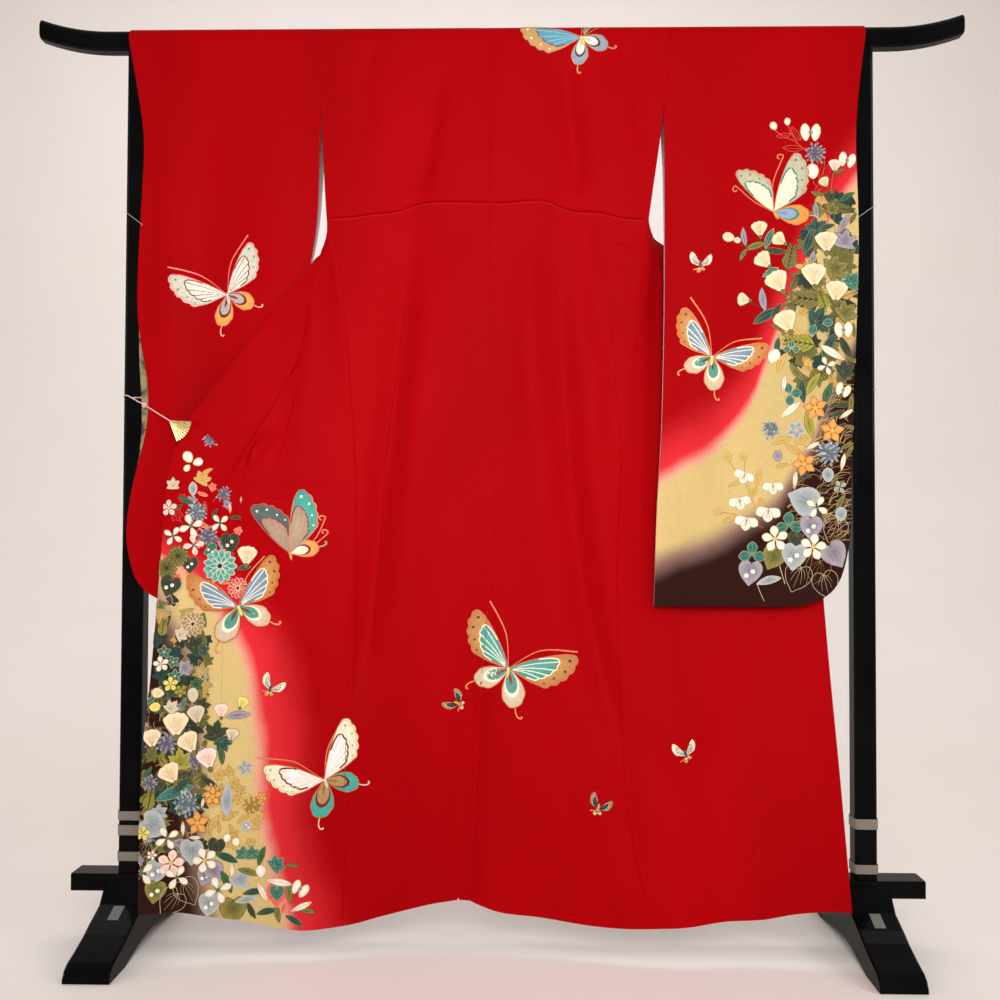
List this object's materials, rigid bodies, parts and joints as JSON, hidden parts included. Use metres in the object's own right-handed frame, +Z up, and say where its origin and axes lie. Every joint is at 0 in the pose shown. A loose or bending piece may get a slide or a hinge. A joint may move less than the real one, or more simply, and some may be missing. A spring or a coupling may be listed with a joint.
{
  "type": "furisode on a kimono stand",
  "caption": "A long-sleeved red furisode with butterflies and flowers, spread from its back on a black lacquer kimono stand, one collar corner drawn out by a cord and a fan clip.",
  "frame": {"origin": "On the floor, midway between the two feet, under the middle of the bar", "axes": "+Z is up, +X runs along the bar, and the garment's back faces -Y"},
  "size_m": [1.7, 0.422, 1.6922],
  "materials": {
    "silk_crepe": "satin",
    "black_lacquer": "gloss",
    "grey_plate": "matte",
    "band_tape": "matte",
    "pink_cord": "matte",
    "gold_clip": "satin"
  },
  "bodies": {
    "root": {"body_left": "silk_crepe", "body_right": "silk_crepe", "okumi_left": "silk_crepe", "okumi_right": "silk_crepe", "collar": "silk_crepe", "sleeve_left": "silk_crepe", "sleeve_right": "silk_crepe", "stand_bar": "black_lacquer", "stand_board": "black_lacquer", "post_left": "black_lacquer", "post_right": "black_lacquer", "foot_left": "black_lacquer", "foot_right": "black_lacquer", "plate_left": "grey_plate", "plate_right": "grey_plate", "band_left_1": "band_tape", "band_left_2": "band_tape", "band_left_3": "band_tape", "band_right_4": "band_tape", "band_right_5": "band_tape", "tie_loop": "pink_cord", "tie_knot": "pink_cord", "tie_cord": "pink_cord", "clip_fan": "gold_clip"}
  },
  "joints": []
}
